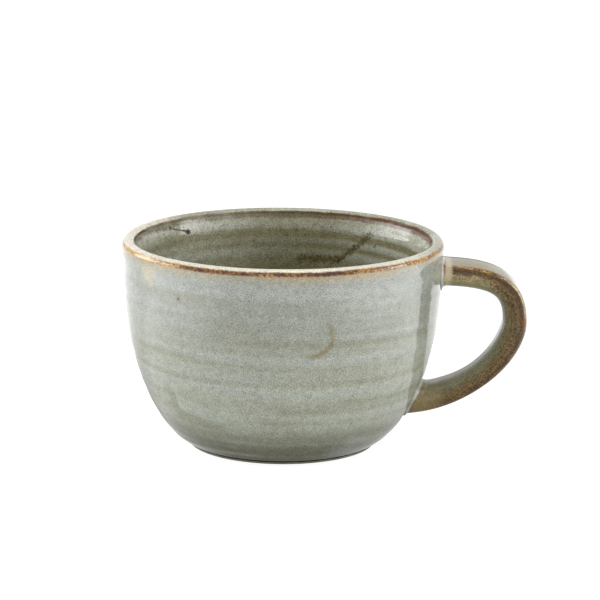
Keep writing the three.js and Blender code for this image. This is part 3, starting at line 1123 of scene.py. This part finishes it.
def strapColours(position, edge, depth, along, ridge):
    # iron spreads in grains from the edges over the sides, most of all at the bend
    look = strapGlaze
    slow, grains = swing(position, *look["slow"]), swing(position, *look["grains"])
    reach = minus(remap(along, *look["ironGrows"]), remap(along, *look["ironShrinks"]))
    bySlow, byGrains, byLines = look["ironUneven"]
    amount = plus(remap(depth, reach, look["ironFull"]), times(slow, bySlow), times(grains, byGrains))
    amount = minus(amount, times(ridge, byLines), remap(along, *look["ironFree"]))
    ochre = plus(remap(along, *look["ochreAlong"]), times(grains, look["ochreGrains"]))
    values = {"along": along, "depth": depth, "iron": amount, "grains": ochre}
    colour = layered(look["side"], look, look["layers"], **values)
    outer = mixed(remap(slow, *look["outerPatches"]), look["outerFace"], look["innerFace"])
    colour = mixed(remap(plus(edge, grains), *look["outerFrom"]), colour, outer)
    # the outer edge line: iron near the root, and further along a painted cream highlight
    crest = ironLine(position, edge, *look["crestLine"])
    crest = times(crest, remap(along, *look["crestAlong"]))
    highlightAndIron = remap(plus(along, times(grains, look["highlightGrains"])), *look["highlightAlong"])
    highlightAndIron = mixed(highlightAndIron, iron["cream"], ironColour(position, look["gilt"]))
    colour = mixed(crest, colour, highlightAndIron)
    colour = mixed(remap(plus(along, grains), *look["creamAlong"]), colour, iron["cream"])
    far = ironLine(position, edge, *look["farLine"])
    far = times(far, remap(axes(position)[1], *look["farSide"]), remap(along, *look["farAlong"]))
    return mixed(far, colour, look["brown"]), far


strapInputs = ["Position", "Edge", "Depth", "Along", "Ridge"]
strapColour = nodeGroup("strapColour", strapInputs, ["Colour", "Dull"], strapColours)


def strapBase(position):
    marks = [meshValue(position, name) for name in ("edge", "depth", "along", "ridge")]
    return strapColour(position, *marks)


def handlePaint(position):
    colour, dull = strapBase(position)
    return stained(position, colour, strapGlaze["rustSpot"]), dull


slip = {
    "pale": srgb(182, 185, 175),
    "stain": srgb(112, 72, 44),
    "roughness": 0.09, "ripple": 0.03, "grain": 0.25, "shine": 0.4, "specks": 0.3,
    "line": (1.05, 0.5, 0.8),  # distance from the wall, half width, rag
    "lineHeights": (0.0525, 0.0565, 0.25, 0.85),  # strong over the upper face, faint at the lower root
    "paleEdge": (300, 2, 0.5),
    "paleRag": 1.2,
    "paleEnds": (0.9, 0.45),
}


def slipPaint(position):
    # pale slip along the wall, then an iron line, then the strap's own glaze
    gap = meshValue(position, "wallGap")
    colour, dull = strapBase(position)
    line = ironLine(position, gap, *slip["line"])
    line = times(line, remap(axes(position)[2], *slip["lineHeights"]))
    colour = mixed(line, colour, slip["stain"])
    gap = plus(gap, times(swing(position, *slip["paleEdge"]), slip["paleRag"]))
    return mixed(remap(gap, *slip["paleEnds"]), colour, slip["pale"]), dull


clay = {
    "light": srgb(150, 147, 132),
    "dark": srgb(128, 123, 106),
    "fleck": srgb(104, 84, 60),
    "gapShadow": srgb(44, 32, 20),  # painted shadow in the gap just below the glaze's edge
    "layers": [
        ("tones", "dark", 0.35, 0.65),
        ("grit", "fleck", 0.6, 0.72, 0, 0.7),
        # painted shadow: a dark band at the top of the foot, under the glaze's edge
        ("height", "gapShadow", 0.0005, 0.0008),
    ],
    "tones": (180, 4, 0.6),
    "grit": (1500, 2, 0.6),
    "roughness": 0.8,
    "uneven": (0.3, 0.7, 0.7, 0.9),  # roughness over the grit
    "relief": 0.12,
}


def bareClay():
    material, shader, position = newMaterial("bareClay", clay["roughness"])
    tones, grit = cloud(position, *clay["tones"]), cloud(position, *clay["grit"])
    values = {"tones": tones, "grit": grit, "height": axes(position)[2]}
    wire(layered(clay["light"], clay, clay["layers"], **values), shader["Base Color"])
    wire(remap(grit, *clay["uneven"]), shader["Roughness"])
    addBump(shader, grit, clay["relief"])
    return material


sageFinish, slipFinish = glazed("sageGlaze", sage, outsidePaint), glazed("slipGlaze", slip, slipPaint)
mossFinish = glazed("mossGlaze", moss, insidePaint)
strapFinish, clayFinish = glazed("strapGlaze", strapGlaze, handlePaint), bareClay()
dressing = [  # piece, material, the record's slot, the node that it stands for
    (outsideCoat, sageFinish, "outside_glaze", "outside_glaze"),
    (insideCoat, mossFinish, "inside_glaze", "inside_glaze"),
    (wellCoat, sageFinish, "outside_glaze", "foot_well_glaze"),
    (handleCoat, strapFinish, "handle_glaze", "handle_glaze"),
    (upperCollar, slipFinish, "slip", "upper_slip_joint"),
    (lowerCollar, slipFinish, "slip", "lower_slip_joint"),
    (clayBody, clayFinish, "bare_clay", "clay_bowl"),
]
for piece, material, slotName, node in dressing:
    piece.data.materials.append(material)
    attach(piece, "root")
    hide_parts(node)
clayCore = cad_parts["clay_handle"]
clayCore.data.materials.clear()
clayCore.data.materials.append(clayFinish)
print("dressed:", [piece.name for piece, *_ in dressing], "over", clayCore.name)


# Stage: a pale floor that keeps the cup's shadow, white to the eye and in reflections

studio = {
    "floorSize": 6.0,
    "bounce": 0.62,  # how pale it is to the light that it sends back
    "shadow": 0.22,  # share of the floor's look that takes shadow
    "glow": 0.92,  # rest of the floor's look
    "mirrored": (1.2, 3.0, 0.2),  # floor in reflections: in front, at the sides, near the cup
    "sides": (0.45, 1.0),  # direction, as a share across, where its sides begin and are full
    "behind": (0.45, 0.05),  # and where the brighter sides end towards the back
    "nearCup": (0.05, 0.2),  # distance from the cup where its own shade ends, metres
    "sky": 0.38,  # surrounding light on the cup
    "lamps": [  # name, place, aim, width, height, radiance, shares of the width that fade at its ends
        ("rightPanel", (0.8, -0.2, 0.31), (0, 0, 0.05), 0.66, 0.42, 6.6, (0.9, 0.05)),
        ("leftPanel", (-0.8, 0.13, 0.31), (0, 0, 0.05), 1.02, 0.42, 6.0, (0.2, 0.6)),
        ("topPanel", (0.0, 0.12, 0.95), (0, 0, 0.03), 0.6, 0.7, 2.4, (0.1, 0.1)),
        ("frontPanel", (0.0, -1.6, 0.32), (0, 0, 0.04), 2.4, 0.6, 2.9, (0.1, 0.1)),
    ],
}


def seenRays(path):
    # 1 for rays from the eye and for those that glossy or clear surfaces send on
    return largest(path["Is Camera Ray"], path["Is Glossy Ray"], path["Is Transmission Ray"])


def floorGlow(tree, path):
    # brighter to both sides in reflections, and dim close to the cup
    onFloor = addNode(tree, "TexCoord").outputs["Object"]
    onFloor = vectors("SUBTRACT", onFloor, (axisX * mm, 0, 0))
    aside, back, _ = axes(vectors("NORMALIZE", onFloor))
    front, side, near = studio["mirrored"]
    extra = remap(absolute(aside), *studio["sides"], 0, side - front)
    extra = plus(times(extra, remap(back, *studio["behind"])), front)
    extra = times(extra, remap(vectors("LENGTH", onFloor), *studio["nearCup"], near, 1.0))
    extra = times(minus(extra, studio["glow"]), path["Is Glossy Ray"])
    return plus(extra, studio["glow"])


def makeFloor():
    size = studio["floorSize"] / 2
    mesh = bpy.data.meshes.new("floor")
    corners = [(-size, -size, 0), (size, -size, 0), (size, size, 0), (-size, size, 0)]
    mesh.from_pydata(corners, [], [(0, 1, 2, 3)])
    material = bpy.data.materials.new("paleFloor")
    material.use_nodes = True
    tree = material.node_tree
    tree.nodes.remove(tree.nodes["Principled BSDF"])
    bounce, shadow = addNode(tree, "BsdfDiffuse"), addNode(tree, "BsdfDiffuse")
    bounce.inputs["Color"].default_value = (studio["bounce"],) * 3 + (1,)
    shadow.inputs["Color"].default_value = (studio["shadow"],) * 3 + (1,)
    path = addNode(tree, "LightPath").outputs
    glow = fed("Emission", {"Strength": floorGlow(tree, path)})[0]
    shown = fed("AddShader", {0: shadow.outputs[0], 1: glow})[0]
    mix = fed("MixShader", {0: seenRays(path), 1: bounce.outputs[0], 2: shown})[0]
    wire(mix, tree.nodes["Material Output"].inputs["Surface"])
    mesh.materials.append(material)
    linked("floor", mesh)


def makeSky():
    world = bpy.data.worlds.new("studioSky")
    world.use_nodes = True
    tree = world.node_tree
    sky = tree.nodes["Background"].inputs
    sky["Color"].default_value = (1, 1, 1, 1)
    seen = seenRays(addNode(tree, "LightPath").outputs)
    wire(remap(seen, 0, 1, studio["sky"], 1.0), sky["Strength"])
    bpy.context.scene.world = world


def makeLamps():
    for name, place, aim, width, height, radiance, (firstFade, lastFade) in studio["lamps"]:
        lamp = bpy.data.lights.new(name, "AREA")
        lamp.shape = "RECTANGLE"
        lamp.size, lamp.size_y = width, height
        lamp.energy = radiance * math.pi * width * height
        lamp.use_nodes = True
        tree = lamp.node_tree
        across = axes(addNode(tree, "NewGeometry").outputs["Parametric"])[0]
        fades = times(remap(across, 0, firstFade), remap(across, 1, 1 - lastFade))
        wire(fades, tree.nodes["Emission"].inputs["Strength"])
        holder = linked(name, lamp)
        holder.location = place
        holder.rotation_euler = (Vector(aim) - Vector(place)).to_track_quat("-Z", "Y").to_euler()
        holder.visible_glossy = name != "frontPanel"  # the front light is too soft to show in the glaze


view = {
    "distance": 900.0,
    "elevation": 13.59,
    "over": (axisX, 0, 32.0),  # where on the bowl's axis the distance starts
    "aim": (axisX + 5.39, 2.97, 44.3),  # what lies at the middle of the picture
    "roll": 0.46,
    "lens": 172.64,
    "sensor": 36,
    "clip": (0.01, 20),
}


def makeCamera():
    tilt = math.radians(view["elevation"])
    eye = Vector(view["over"]) + view["distance"] * Vector((0, -math.cos(tilt), math.sin(tilt)))
    aim = Vector(view["aim"]) - eye
    data = bpy.data.cameras.new("camera")
    data.lens, data.sensor_width = view["lens"], view["sensor"]
    data.clip_start, data.clip_end = view["clip"]
    camera = linked("camera", data)
    turn = aim.to_track_quat("-Z", "Y").to_matrix().to_4x4()
    roll = Matrix.Rotation(math.radians(view["roll"]), 4, "Z")
    camera.matrix_world = Matrix.Translation(eye * mm) @ turn @ roll
    bpy.context.scene.camera = camera


makeFloor()
makeSky()
makeLamps()
makeCamera()
bpy.context.scene.view_settings.view_transform = "Standard"
print("stage: floor, sky,", len(studio["lamps"]), "lamps and the camera")
